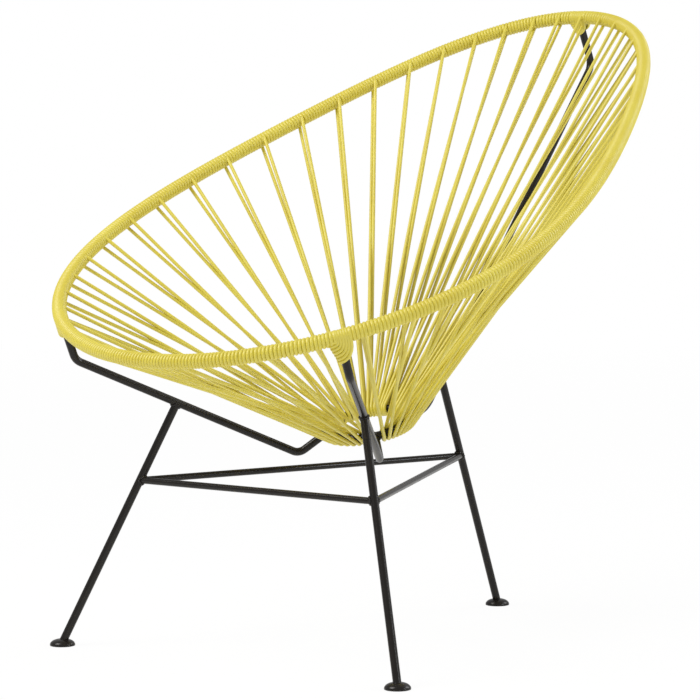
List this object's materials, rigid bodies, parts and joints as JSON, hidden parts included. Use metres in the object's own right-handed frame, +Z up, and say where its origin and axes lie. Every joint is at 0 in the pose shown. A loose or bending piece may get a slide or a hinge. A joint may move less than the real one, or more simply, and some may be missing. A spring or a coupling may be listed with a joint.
{
  "type": "cord lounge chair",
  "caption": "Egg-shaped open lounge chair: a tilted wound hoop strung with cord down to a small seat ring, on three splayed rod legs.",
  "frame": {"origin": "on the floor, under the middle of the chair's overall length and width", "axes": "+Z up, -Y the way the sitter faces, +X the sitter's left"},
  "size_m": [0.7403, 1.0224, 0.8613],
  "materials": {
    "painted_steel": "satin black powder coat",
    "cord": "semi-gloss yellow PVC"
  },
  "bodies": {
    "root": {"cord_section_01": "cord", "cord_section_02": "cord", "cord_section_03": "cord", "cord_section_04": "cord", "cord_section_05": "cord", "cord_section_06": "cord", "cord_section_07": "cord", "cord_section_08": "cord", "cord_section_09": "cord", "cord_section_10": "cord", "cord_section_11": "cord", "cord_section_12": "cord", "cord_section_13": "cord", "cord_section_14": "cord", "cord_section_15": "cord", "cord_section_16": "cord", "cord_section_17": "cord", "cord_section_18": "cord", "cord_section_19": "cord", "cord_section_20": "cord", "cord_section_21": "cord", "cord_section_22": "cord", "cord_section_23": "cord", "cord_section_24": "cord", "cord_section_25": "cord", "front_left_arm": "painted_steel", "front_left_foot": "painted_steel", "front_left_leg": "painted_steel", "front_right_arm": "painted_steel", "front_right_foot": "painted_steel", "front_right_leg": "painted_steel", "front_stretcher": "painted_steel", "left_stretcher": "painted_steel", "rear_arm": "painted_steel", "rear_foot": "painted_steel", "rear_leg": "painted_steel", "right_stretcher": "painted_steel", "rim_hoop": "painted_steel", "seat_ring": "painted_steel"}
  },
  "joints": []
}
